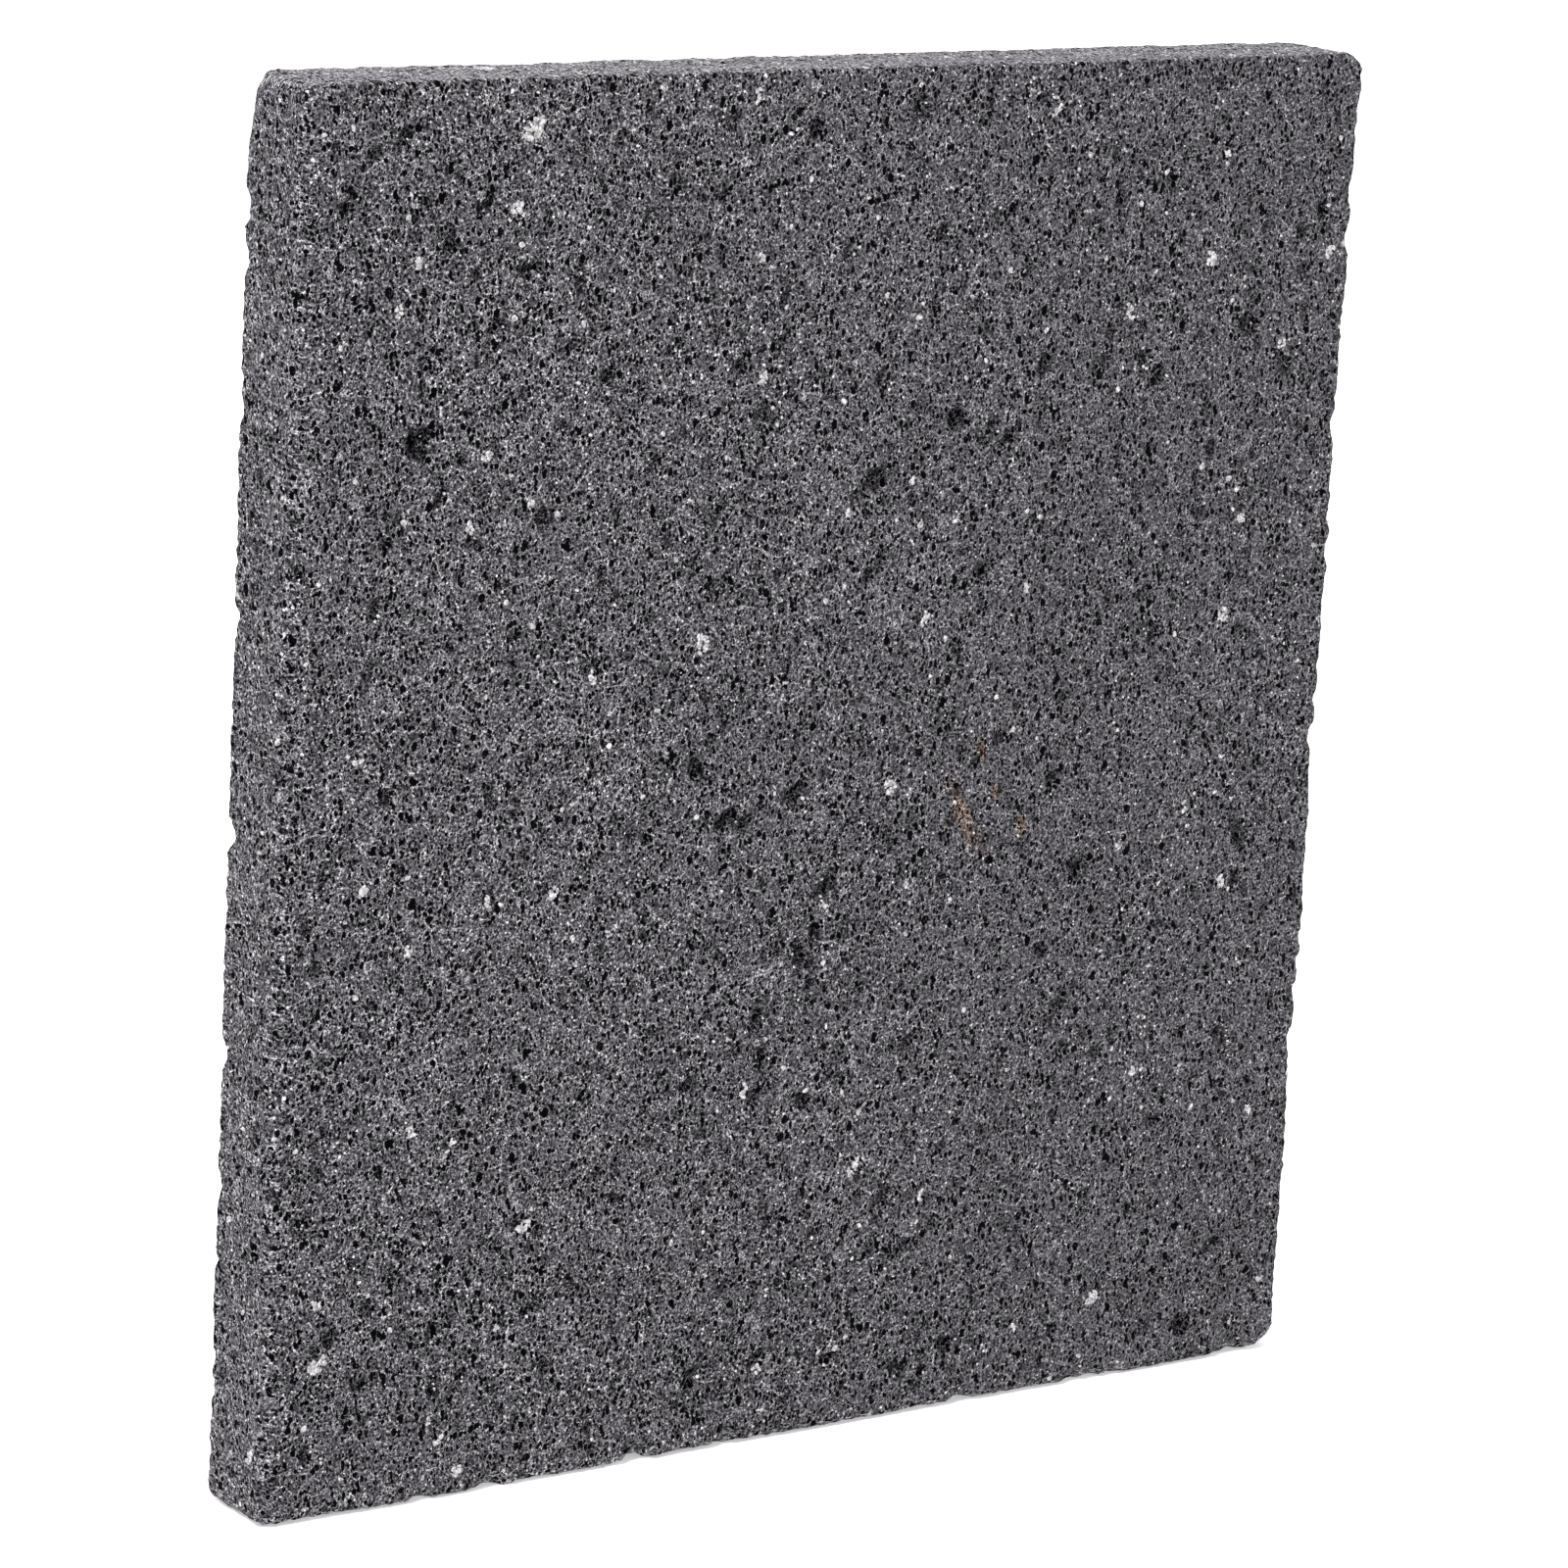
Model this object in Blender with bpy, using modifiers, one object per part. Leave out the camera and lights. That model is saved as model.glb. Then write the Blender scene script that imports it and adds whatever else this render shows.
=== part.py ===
"""Basalt massage stone: one flat slab of porous lava stone, standing on its bottom edge.

Metres, +Z up. The origin is on the resting surface, under the middle of the slab.
+X runs across the width, +Z up the height, and the front face looks towards -Y.
"""
import bmesh
import bpy
from mathutils import Vector

# Driving dimensions
SLAB_WIDTH = 0.117
SLAB_THICKNESS = 0.010
SLAB_HEIGHT = 0.130

# The broad faces' four corners, each rubbed round by its own radius
TOP_RIGHT_RADIUS = 0.0022
TOP_LEFT_RADIUS = 0.0012
BOTTOM_RIGHT_RADIUS = 0.0010
BOTTOM_LEFT_RADIUS = 0.0004
CORNER_SEGMENTS = 4

# The arrises, where the sawn edges meet the two broad faces, are eased all round by the
# same amount, so the outline's corners are rounder than the faces' by that much
ARRIS_EASING = 0.0015
ARRIS_SEGMENTS = 3
ARRIS_MIN_ANGLE = 0.7

# Dry, uncoated vesicular basalt
BASALT_COLOUR = (0.105, 0.105, 0.112, 1.0)
BASALT_ROUGHNESS = 0.92
BASALT_METALLIC = 0.0

SAME_PLACE = 1e-6


def clear_scene():
    """Start from an empty file."""
    for existing in list(bpy.data.objects):
        bpy.data.objects.remove(existing, do_unlink=True)


def basalt_material():
    """Dark neutral grey, dull all over."""
    material = bpy.data.materials.new("basalt")
    material.use_nodes = True
    shader = material.node_tree.nodes["Principled BSDF"]
    shader.inputs["Base Color"].default_value = BASALT_COLOUR
    shader.inputs["Roughness"].default_value = BASALT_ROUGHNESS
    shader.inputs["Metallic"].default_value = BASALT_METALLIC
    return material


def sawn_block():
    """The slab as it leaves the saw: a sharp-edged box with its front face at -Y."""
    block = bmesh.new()
    bmesh.ops.create_cube(block, size=1.0)
    bmesh.ops.scale(block, vec=(SLAB_WIDTH, SLAB_THICKNESS, SLAB_HEIGHT), verts=block.verts)
    bmesh.ops.translate(block, vec=(0.0, 0.0, SLAB_HEIGHT / 2), verts=block.verts)
    return block


def edge_through_thickness(block, corner):
    """The edge that runs front to back at one corner of the outline."""
    for edge in block.edges:
        middle = (edge.verts[0].co + edge.verts[1].co) / 2
        if (middle - corner).length < SAME_PLACE:
            return edge
    return None


def rub_corners(block):
    """Round the outline's corners, each so that its easing leaves the face its radius."""
    half_width = SLAB_WIDTH / 2
    corners = (
        (Vector((half_width, 0.0, SLAB_HEIGHT)), TOP_RIGHT_RADIUS),
        (Vector((-half_width, 0.0, SLAB_HEIGHT)), TOP_LEFT_RADIUS),
        (Vector((half_width, 0.0, 0.0)), BOTTOM_RIGHT_RADIUS),
        (Vector((-half_width, 0.0, 0.0)), BOTTOM_LEFT_RADIUS),
    )
    for corner, radius in corners:
        bmesh.ops.bevel(
            block,
            geom=[edge_through_thickness(block, corner)],
            offset=radius + ARRIS_EASING,
            offset_type="OFFSET",
            affect="EDGES",
            segments=CORNER_SEGMENTS,
            profile=0.5,
            material=-1,
        )


def ease_arrises(slab):
    """Round the long edges all the way round both broad faces."""
    easing = slab.modifiers.new("eased_arrises", "BEVEL")
    easing.width = ARRIS_EASING
    easing.segments = ARRIS_SEGMENTS
    easing.limit_method = "ANGLE"
    easing.angle_limit = ARRIS_MIN_ANGLE
    easing.profile = 0.5


def stone_slab(material):
    """The whole stone, which is one piece of rock."""
    block = sawn_block()
    rub_corners(block)
    mesh = bpy.data.meshes.new("stone_slab")
    block.to_mesh(mesh)
    block.free()
    mesh.materials.append(material)
    slab = bpy.data.objects.new("stone_slab", mesh)
    ease_arrises(slab)
    return slab


def main():
    clear_scene()
    stone = bpy.data.collections.new("basalt_massage_stone")
    bpy.context.scene.collection.children.link(stone)
    stone.objects.link(stone_slab(basalt_material()))


main()
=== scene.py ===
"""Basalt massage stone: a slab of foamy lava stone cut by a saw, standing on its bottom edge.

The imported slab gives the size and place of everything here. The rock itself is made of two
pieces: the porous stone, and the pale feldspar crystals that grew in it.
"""
import math
import random

import bmesh
import bpy
from mathutils import Euler, Matrix, Vector, noise
from mathutils.bvhtree import BVHTree
from mathutils.kdtree import KDTree


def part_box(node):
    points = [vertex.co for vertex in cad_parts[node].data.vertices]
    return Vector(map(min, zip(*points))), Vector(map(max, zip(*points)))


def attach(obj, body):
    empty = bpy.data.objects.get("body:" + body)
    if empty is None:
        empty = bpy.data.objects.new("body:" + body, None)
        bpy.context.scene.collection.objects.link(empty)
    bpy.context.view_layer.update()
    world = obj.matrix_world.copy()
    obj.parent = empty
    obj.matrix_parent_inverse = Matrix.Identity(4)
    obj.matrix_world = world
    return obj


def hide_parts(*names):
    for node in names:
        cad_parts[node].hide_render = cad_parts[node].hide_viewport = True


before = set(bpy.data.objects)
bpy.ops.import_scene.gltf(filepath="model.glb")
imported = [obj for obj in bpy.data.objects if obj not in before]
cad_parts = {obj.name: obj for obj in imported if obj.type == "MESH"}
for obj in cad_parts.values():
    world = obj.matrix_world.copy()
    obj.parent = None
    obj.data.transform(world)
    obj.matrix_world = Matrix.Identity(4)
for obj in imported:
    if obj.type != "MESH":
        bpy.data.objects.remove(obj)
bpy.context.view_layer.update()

LOW, HIGH = (Vector(corner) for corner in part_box("stone_slab"))
CENTRE = (LOW + HIGH) / 2
HALF = (HIGH - LOW) / 2
MM = 0.001
OUTWARD_WAYS = [Vector(way) for way in (    # the two broad faces' first
    (0, -1, 0),
    (0, 1, 0),
    (-1, 0, 0),
    (1, 0, 0),
    (0, 0, 1),
    (0, 0, -1),
)]

# The rubbed slab
CELL = 1.0 * MM                 # the grid that the face is cut into before it is worn
EDGE_CELL = 0.72 * MM           # the same, through the thickness
ARRIS_BAND = 1.9 * MM           # the grid is twice as fine this close to an arris
ARRIS_EASING = 1.4 * MM
TOP_ARRIS_EASING = 0.45 * MM    # the top edge has been rubbed least
TOP_BAND = 7 * MM               # how far down the easing grows to its full size
BACK_EASING = 0.55              # of the front's: the back arrises are crisper
ARRIS_UNEVENNESS = 0.3          # of the easing
ARRIS_WAVES = (9 * MM, 3 * MM)  # the wavelengths of that unevenness, the second half as deep
CORNER_RADII = {                # by the side that each corner is on: across, up
    (1, 1): 0.7 * MM,
    (-1, 1): 1.0 * MM,
    (1, -1): 1.8 * MM,
    (-1, -1): 1.2 * MM,
}
CELL_JITTER = 0.30              # how far out of square the cells are, of a cell

# Flat knocks on the slab's corners. Each starts at a corner, by the side it is on across,
# through and up, and takes off this many mm of the three edges that meet there.
KNOCKS = (
    ((-1, 1, 1), (1.9, 5.0, 3.0)),
    ((-1, 1, 1), (1.1, 2.4, 11.0)),
    ((1, -1, 1), (1.7, 60.0, 1.7)),
    ((1, -1, -1), (3.2, 30.0, 2.6)),
    ((1, 1, 1), (3.0, 4.0, 3.0)),
    ((-1, -1, -1), (1.2, 1.8, 2.0)),
    ((1, 1, -1), (3.0, 2.6, 4.0)),
)

# Pits: shallow hollows, each where several bubbles have run together
PITS = 330
PIT_RADIUS = (0.45 * MM, 1.35 * MM)
PIT_SMALLNESS = 2.6             # the higher, the more of them are small
PIT_STRETCH = (1.0, 2.2)
PIT_LEAN = (0.3, 0.6)           # from upright, in radians: the middle and the spread
PIT_DEPTH = 0.45                # of the radius
PIT_RAGGEDNESS = 0.5            # of the radius
PIT_RAGGED_WAVE = 0.6 * MM
# How much painted shade a pit gets in its colour, beside a deep pore's floor
PIT_SHADE = 0.5                 # how dark a pit is, beside a deep pore
NOTABLE_PIT_SHADE = 0.6
PIT_SHADE_CRISPNESS = 1.6       # the higher, the nearer to the rim the full shade starts
PIT_MARGIN = 3 * MM             # no pit is cut closer than this to the outline
PIT_CUTS = 2                    # how often the cells under a pit are cut
PIT_CUT_MARGIN = 0.4 * CELL     # how far past its rim they are cut
SKIN = 0.8 * MM                 # a pit takes only rock that lies this close to its face

# Pores: single bubbles that the saw has cut open
FACE_PORE_SHARE = 0.050         # how many of the cells hold one
EDGE_PORE_SHARE = 0.045
EDGE_PORE_NORMAL = 0.7          # cells turned this far from the broad faces are an edge's
PORE_RADII = (0.16 * MM, 0.21 * MM, 0.28 * MM)
PORE_FIT = 0.42                 # the widest radius that a cell takes, of its own width
PORE_BORDER = 0.06 * MM         # the rock left inside the cell's border
PORE_STRETCH = (0.75, 1.25)
PORE_RAGGEDNESS = (0.85, 1.15)
PORE_DEPTH = (1.2, 2.4)         # of the radius
PORE_FLOOR = 0.72               # how wide the floor is, beside the mouth

# Chips along the arrises
CHIPS = 300
CHIP_RADIUS = (0.30 * MM, 1.1 * MM)
CHIP_SMALLNESS = 2.5            # the higher, the more of them are small
CHIP_REACH = 1.6                # how far out a chip is felt, in its own radii
CHIP_DEPTH = 0.42               # of the radius
CHIP_AIM = 0.93                 # a chip bites towards a point this share of the way out to it

# Wear
PROUD = 0.12 * MM               # how far the worn outline may stand out past the sawn one
TOP_WEAR = 0.4                  # how rough the top arrises are, beside the others
FOOT_WEAR = 0.10 * MM           # how far the foot is worn back, all but its highest grains
FOOT_CHIPPING = 1.7             # how deep the foot's chips are, beside the others
WORN_BAND = 1.5 * MM            # how far in from the outline the wear reaches
FACE_WEAR = 0.04 * MM           # what every side loses
UNEVENNESS = (                  # wavelength, shift, depth all over, more at the outline
    (16.0 * MM, (0, 0, 0), 0.04 * MM, 0.05 * MM),
    (3.2 * MM, (7, 3, 1), 0.03 * MM, 0.06 * MM),
    (0.8 * MM, (2, 9, 4), 0.04 * MM, 0.20 * MM),
)

# How much lighter each side round the outline is drawn, partly for the saw's finish that it has
# kept
# and partly as painted light: at most, where it is square to the broad faces, and how much less as
# it turns towards them
TOP_SAW_FINISH_AND_PAINTED_LIGHT = (1.0, 1.2, 1.9)
FOOT_SAW_FINISH_AND_PAINTED_LIGHT = (0.7, 1.2, 1.1)
SIDES_SAW_FINISH_AND_PAINTED_LIGHT = (1.0, 0.1, 0.2)
FACES_UP = 0.5                  # the normal's height, for the top and for the foot
FACES_DOWN = -0.25
RUBBED_REACH = 1.6              # how far the rubbed finish goes from an arris, in easings
SHARP_ANGLE = math.radians(38)

# The stone's flat map: where each row of it starts and how high it is, in shares of the map
FACE_ROW = (0.13, 0.86)
UPRIGHT_ROW = (0.005, 0.05)     # the left and right edges
LEVEL_ROW = (0.065, 0.05)       # the top and the foot
CHART_MARGIN = 0.01
CHART_WIDTH = 0.48
EDGE_STRIP = 2.0 * MM           # what lies this close to the outline and is turned this far
EDGE_NORMAL = 0.6               # from the broad faces goes into an edge's strip

STONE_SEED = 7
CRYSTAL_SEED = 11

# The deepest pits, all on the front face: place across and up from the floor, radius,
# stretch, and lean from upright in degrees. Lengths in mm.
NOTABLE_PITS = (
    ((22.1, 101.7), 1.15, 1.6, 5),
    ((-46.1, 98.4), 1.5, 1.2, 30),
    ((-48.3, 125.5), 0.8, 1.0, 0),
    ((-54.0, 119.3), 0.9, 1.2, 0),
    ((-51.5, 123.6), 0.8, 1.5, 50),
    ((-43.4, 115.9), 0.9, 1.2, 30),
    ((-35.1, 113.2), 1.1, 2.0, 80),
    ((-29.9, 111.7), 0.7, 2.2, 20),
    ((-14.9, 118.9), 0.8, 1.3, 15),
    ((-12.4, 103.4), 0.8, 1.2, 0),
    ((-49.0, 89.5), 0.9, 1.0, 0),
    ((-5.2, 124.8), 1.0, 1.6, 20),
    ((29.9, 117.2), 0.8, 1.7, 10),
    ((35.8, 118.9), 0.8, 1.4, 0),
    ((52.1, 113.2), 0.8, 1.6, 0),
    ((16.4, 96.3), 0.9, 1.3, 0),
    ((33.7, 101.9), 0.8, 1.2, 0),
    ((49.0, 49.2), 0.7, 2.2, -10),
    ((-2.4, 46.9), 0.9, 1.0, 0),
    ((11.3, 5.0), 0.9, 1.3, 0),
    ((38.6, 17.0), 0.7, 2.2, -15),
    ((5.3, 16.5), 0.6, 2.4, 35),
    ((-51.8, 17.4), 0.9, 1.2, 20),
    ((-41.2, 16.1), 0.9, 1.3, 0),
    ((-54.2, 6.7), 0.8, 1.2, 0),
)

# Small feldspar crystals, all over
CRYSTALS = 2000
CRYSTAL_SIZE = (0.24 * MM, 0.90 * MM)
CRYSTAL_SMALLNESS = 2.5         # the higher, the more of them are small
CRYSTAL_WIDTH = (0.4, 0.9)      # of the length
FACE_SHARE = 0.84               # how many of them are on the two broad faces
SQUARE_ON = 0.6                 # how squarely the rock must face for a crystal to show
CRYSTAL_PROUD = 0.12 * MM       # the most that a crystal stands out past a sawn broad face

# The grains that a large crystal has broken into
GRAIN = 0.42 * MM
GRAIN_SIZE = (0.8, 1.7)         # of GRAIN
GRAIN_WIDTH = 0.7               # of the length
GRAIN_THICKNESS = 0.7           # of the width
GRAIN_RAGGEDNESS = (0.75, 1.25)
GRAIN_SINK = 0.12               # how far under the surface its middle lies, of the width
GRAIN_CROWDING = 1.5            # how many there are to a square of GRAIN by GRAIN
FEWEST_GRAINS = 3
GRAIN_SPREAD = 0.42             # how far they lie from the middle, of length and width
LIFT = 5 * MM                   # a crystal is laid on the rock from this far out
WAY_OFF = 1.5 * MM              # rock further than this from the crystal's place is no rock

# Large crystals on the back and the right-hand edge. Lengths in mm.
HIDDEN_CRYSTALS = 48
HIDDEN_LENGTH = (1.0, 2.5)
HIDDEN_WIDTH = (0.35, 0.85)     # of the length
EDGE_TURN = 8                   # every eighth of them is on the edge

# The largest crystals in front, above and on the left: place on the sawn slab (across,
# through, up from the floor), length, width, and lean from upright in degrees. The rest is
# in mm.
NOTABLE_CRYSTALS = (
    ((-35.4, -5.0, 125.5), 3.0, 1.9, 55),
    ((-15.2, -5.0, 78.1), 2.2, 1.8, 0),
    ((9.8, -5.0, 78.4), 2.1, 0.9, 15),
    ((6.9, -5.0, 62.7), 1.7, 1.5, 0),
    ((-26.9, -5.0, 75.9), 1.6, 0.7, -15),
    ((-30.1, -5.0, 56.1), 1.6, 1.1, 30),
    ((-50.2, -5.0, 58.4), 1.5, 1.0, 80),
    ((-45.2, -5.0, 52.6), 1.4, 0.7, 30),
    ((-31.9, -5.0, 25.0), 2.1, 1.2, 70),
    ((34.8, -5.0, 8.6), 2.0, 1.4, 50),
    ((-8.1, -5.0, 35.0), 2.0, 0.8, 5),
    ((4.7, -5.0, 25.7), 1.9, 0.6, 20),
    ((-9.8, -5.0, 102.2), 1.4, 1.0, 0),
    ((31.8, -5.0, 106.4), 2.1, 0.8, -20),
    ((47.0, -5.0, 85.6), 1.3, 1.1, 0),
    ((45.4, -5.0, 76.1), 1.7, 1.3, 10),
    ((-46.8, -5.0, 114.2), 1.5, 1.0, -30),
    ((-48.5, -5.0, 110.0), 1.3, 0.9, 20),
    ((-53.1, -5.0, 15.0), 2.5, 1.7, 60),
    ((-53.5, -5.0, 20.5), 1.2, 1.0, 0),
    ((-38.0, -5.0, 2.6), 1.6, 1.1, 60),
    ((-41.2, -5.0, 7.8), 2.1, 0.5, 10),
    ((-40.1, -5.0, 5.9), 1.8, 0.6, 40),
    ((42.4, -5.0, 121.1), 1.6, 0.9, 0),
    ((41.1, -5.0, 110.9), 1.8, 1.2, 20),
    ((55.8, -5.0, 111.1), 1.7, 1.2, 30),
    ((-58.5, -2.6, 6.4), 2.4, 1.2, 40),
    ((-36.6, 1.8, 130.0), 2.6, 1.6, 0),
    ((-36.9, -5.0, 118.6), 1.9, 1.3, 60),
    ((-38.9, -5.0, 96.8), 1.5, 0.7, 60),
    ((-34.3, -5.0, 92.5), 1.1, 0.8, 70),
    ((-40.5, -5.0, 90.4), 1.4, 0.8, -20),
    ((-10.7, -5.0, 113.2), 1.1, 0.8, -40),
    ((-11.9, -5.0, 127.8), 1.7, 0.6, 10),
    ((-37.1, -5.0, 56.2), 1.5, 0.7, -20),
    ((-44.2, -5.0, 35.7), 1.4, 0.9, -30),
    ((-39.8, -5.0, 33.9), 1.1, 0.9, 20),
    ((-34.4, -5.0, 15.7), 0.8, 0.8, 0),
    ((-4.9, -5.0, 7.2), 1.0, 0.8, 60),
    ((5.1, -5.0, 26.0), 2.3, 0.7, 20),
    ((5.5, -5.0, 31.6), 1.4, 0.4, 50),
    ((13.1, -5.0, 22.0), 1.6, 0.5, 15),
    ((38.0, -5.0, 31.4), 1.3, 1.0, 30),
    ((52.8, -5.0, 25.6), 1.2, 1.0, 0),
    ((47.4, -5.0, 49.4), 1.4, 1.3, 0),
    ((42.3, -5.0, 57.4), 1.6, 0.5, 0),
    ((-0.1, -5.0, 52.3), 1.4, 0.4, -20),
    ((9.5, -5.0, 52.9), 1.1, 0.6, -20),
    ((41.3, -5.0, 111.0), 1.6, 1.0, 0),
    ((50.5, -5.0, 102.3), 1.1, 0.8, 60),
    ((21.8, -5.0, 125.5), 1.9, 0.6, 45),
    ((7.5, -5.0, 91.7), 1.2, 0.6, 20),
    ((0.4, -5.0, 88.9), 1.4, 0.5, -10),
    ((21.3, -5.0, 80.7), 1.1, 0.8, 0),
)


def linear(hex_colour):
    """An sRGB hex colour as linear red, green, blue and alpha."""
    parts = [int(hex_colour[i : i + 2], 16) / 255 for i in (1, 3, 5)]
    return [p / 12.92 if p <= 0.04045 else ((p + 0.055) / 1.055) ** 2.4 for p in parts] + [1.0]


def add(tree, kind, inputs=None, **settings):
    """Add a node, set its properties, and set or link its inputs."""
    node = tree.nodes.new(kind)
    for name, value in settings.items():
        setattr(node, name, value)
    for socket, value in (inputs or {}).items():
        if isinstance(value, bpy.types.NodeSocket):
            tree.links.new(value, node.inputs[socket])
        else:
            node.inputs[socket].default_value = value
    return node


# ---------------------------------------------------------------- the stone's shape


def room_to_side(point, axis):
    """How far inside the sharp slab a point lies, along one axis."""
    return HALF[axis] - abs(point[axis])


def sawn_grid():
    """The sharp-edged slab, cut into cells, finer along the arrises."""
    block = bmesh.new()
    bmesh.ops.create_cube(block, size=2.0)
    bmesh.ops.scale(block, vec=HALF, verts=block.verts)
    for axis, cell in ((0, CELL), (2, CELL), (1, EDGE_CELL)):
        along = [e for e in block.edges if abs(e.verts[0].co[axis] - e.verts[1].co[axis]) > cell]
        cuts = round(2 * HALF[axis] / cell) - 1
        bmesh.ops.subdivide_edges(block, edges=along, cuts=cuts, use_grid_fill=True)
    band = [e for e in block.edges if all(by_an_arris(v.co) for v in e.verts)]
    bmesh.ops.subdivide_edges(block, edges=band, cuts=1, use_grid_fill=True)
    return block


def by_an_arris(point):
    """True in the narrow bands on both sides of every arris round the broad faces."""
    outline = min(room_to_side(point, 0), room_to_side(point, 2))
    return outline < ARRIS_BAND and room_to_side(point, 1) < ARRIS_BAND


def jitter_cells(block, chance):
    """Knock the cells out of square, each face's in its own plane."""
    for vert in block.verts:
        reach = CELL_JITTER * CELL * (0.5 if by_an_arris(vert.co) else 1.0)
        for axis in range(3):
            if room_to_side(vert.co, axis) > reach:
                vert.co[axis] += chance.uniform(-reach, reach)


def rubbed(point):
    """Where a point of the sharp slab lies once corners and arrises are rubbed round."""
    side = [math.copysign(1, point[axis]) for axis in range(3)]
    room = [room_to_side(point, axis) for axis in range(3)]
    radius = CORNER_RADII[(int(side[0]), int(side[2]))]
    into = Vector((radius - room[0], 0, radius - room[2]))
    if into.x > 0 and into.z > 0:
        pull = max(into.x, into.z) / into.length
        point.x = side[0] * (HALF.x - radius + into.x * pull)
        point.z = side[2] * (HALF.z - radius + into.z * pull)
        outward = Vector((side[0] * into.x, 0, side[2] * into.z)).normalized()
    elif room[0] < room[2]:
        outward = Vector((side[0], 0, 0))
    else:
        outward = Vector((0, 0, side[2]))
    inset = min(room[0], room[2])
    wear = noise.noise(point / ARRIS_WAVES[0]) + 0.5 * noise.noise(point / ARRIS_WAVES[1])
    low_down = min(1.0, (HALF.z - point.z) / TOP_BAND)
    easing = TOP_ARRIS_EASING + (ARRIS_EASING - TOP_ARRIS_EASING) * low_down
    easing *= (1 + ARRIS_UNEVENNESS * wear) * (BACK_EASING if point.y > 0 else 1)
    across, through = easing - inset, easing - room[1]
    if across > 0 and through > 0:
        reach = math.hypot(across, through)
        point -= outward * (easing - easing * across / reach - inset)
        point.y = side[1] * (HALF.y - easing + easing * through / reach)
    return point


def pit_places(chance):
    """Centre, radius, stretch, lean and painted shade of each pit on the two broad faces."""
    pits = []
    for (across, up), radius, stretch, lean in NOTABLE_PITS:
        centre = Vector((across * MM, LOW.y, up * MM)) - CENTRE
        pits.append((centre, radius * MM, stretch, math.radians(lean), NOTABLE_PIT_SHADE))
    for _ in range(PITS):
        share = chance.random() ** PIT_SMALLNESS
        radius = PIT_RADIUS[0] + (PIT_RADIUS[1] - PIT_RADIUS[0]) * share
        across = chance.uniform(-1, 1) * (HALF.x - PIT_MARGIN)
        through = chance.choice((-1, 1)) * HALF.y
        up = chance.uniform(-1, 1) * (HALF.z - PIT_MARGIN)
        stretch = chance.uniform(*PIT_STRETCH)
        lean = chance.gauss(*PIT_LEAN)
        pits.append((Vector((across, through, up)), radius, stretch, lean, PIT_SHADE))
    return pits


def sink_pits(block, painted_hollow_shade, chance):
    """Shallow hollows with a crisp uneven rim, in cells that are cut finer for them, with painted
    shade in them.
    """
    pits = pit_places(chance)
    tree = KDTree(len(pits))
    for index, (centre, *_) in enumerate(pits):
        tree.insert(centre, index)
    tree.balance()
    most = max(radius * stretch ** 0.5 for _, radius, stretch, *_ in pits)

    def nearby(point, margin):
        """The pits that reach to within this margin of a point."""
        for _, index, away in tree.find_range(point, most + margin):
            radius, stretch = pits[index][1], pits[index][2]
            if away < radius * stretch ** 0.5 + margin:
                yield index

    fine = set()
    for face in block.faces:
        if any(True for _ in nearby(face.calc_center_median(), PIT_CUT_MARGIN)):
            fine.update(face.edges)
    edges = [edge for edge in block.edges if edge in fine]
    bmesh.ops.subdivide_edges(block, edges=edges, cuts=PIT_CUTS, use_grid_fill=True)
    for vert in block.verts:
        deepest = 0.0
        for index in nearby(vert.co, 0.0):
            centre, radius, stretch, lean, shade = pits[index]
            away = vert.co - centre
            if abs(away.y) > SKIN:
                continue
            along = away.x * math.sin(lean) + away.z * math.cos(lean)
            across = away.x * math.cos(lean) - away.z * math.sin(lean)
            ragged = 1.0 + PIT_RAGGEDNESS * noise.noise(vert.co / PIT_RAGGED_WAVE)
            off = math.hypot(along / stretch ** 0.5, across * stretch ** 0.5) / (radius * ragged)
            if off < 1.0:
                deepest = max(deepest, (1 - off ** 3) * radius * PIT_DEPTH)
                dark = min(1.0, PIT_SHADE_CRISPNESS * (1 - off ** 2))
                # painted shade, darkest towards the pit's middle
                vert[painted_hollow_shade] = max(vert[painted_hollow_shade], shade * dark)
        vert.co.y -= math.copysign(deepest, vert.co.y)


def open_pores(block, painted_hollow_shade, chance):
    """Sink the larger single vesicles that the saw cut open: round holes, one to a cell, with
    painted shade on their floors.
    """
    block.normal_update()
    groups = {radius: [] for radius in PORE_RADII}
    for face in block.faces:
        on_edge = abs(face.normal.y) < EDGE_PORE_NORMAL
        share = EDGE_PORE_SHARE if on_edge else FACE_PORE_SHARE
        if len(face.verts) != 4 or chance.random() > share:
            continue
        width = face.calc_area() ** 0.5
        fitting = [radius for radius in PORE_RADII if radius < PORE_FIT * width]
        if fitting:
            groups[chance.choice(fitting)].append(face)
    for radius, faces in groups.items():
        bmesh.ops.inset_individual(block, faces=faces, thickness=PORE_BORDER, use_even_offset=True)
        borders = dict.fromkeys(edge for face in faces for edge in face.edges)
        bmesh.ops.bisect_edges(block, edges=list(borders), cuts=1)
        for face in faces:
            middle = face.calc_center_median()
            stretch = chance.uniform(*PORE_STRETCH)
            for vert in face.verts:
                away = (vert.co - middle).normalized()
                size = radius * chance.uniform(*PORE_RAGGEDNESS)
                away.z *= stretch
                vert.co = middle + away * size
        sunk = bmesh.ops.extrude_discrete_faces(block, faces=faces)["faces"]
        for face in sunk:
            if len(face.verts) != 8:
                continue
            middle = face.calc_center_median()
            inward = -face.normal * radius * chance.uniform(*PORE_DEPTH)
            for vert in face.verts:
                vert.co = middle + (vert.co - middle) * PORE_FLOOR + inward
                # the pore's floor gets full painted shade
                vert[painted_hollow_shade] = 1.0


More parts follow.
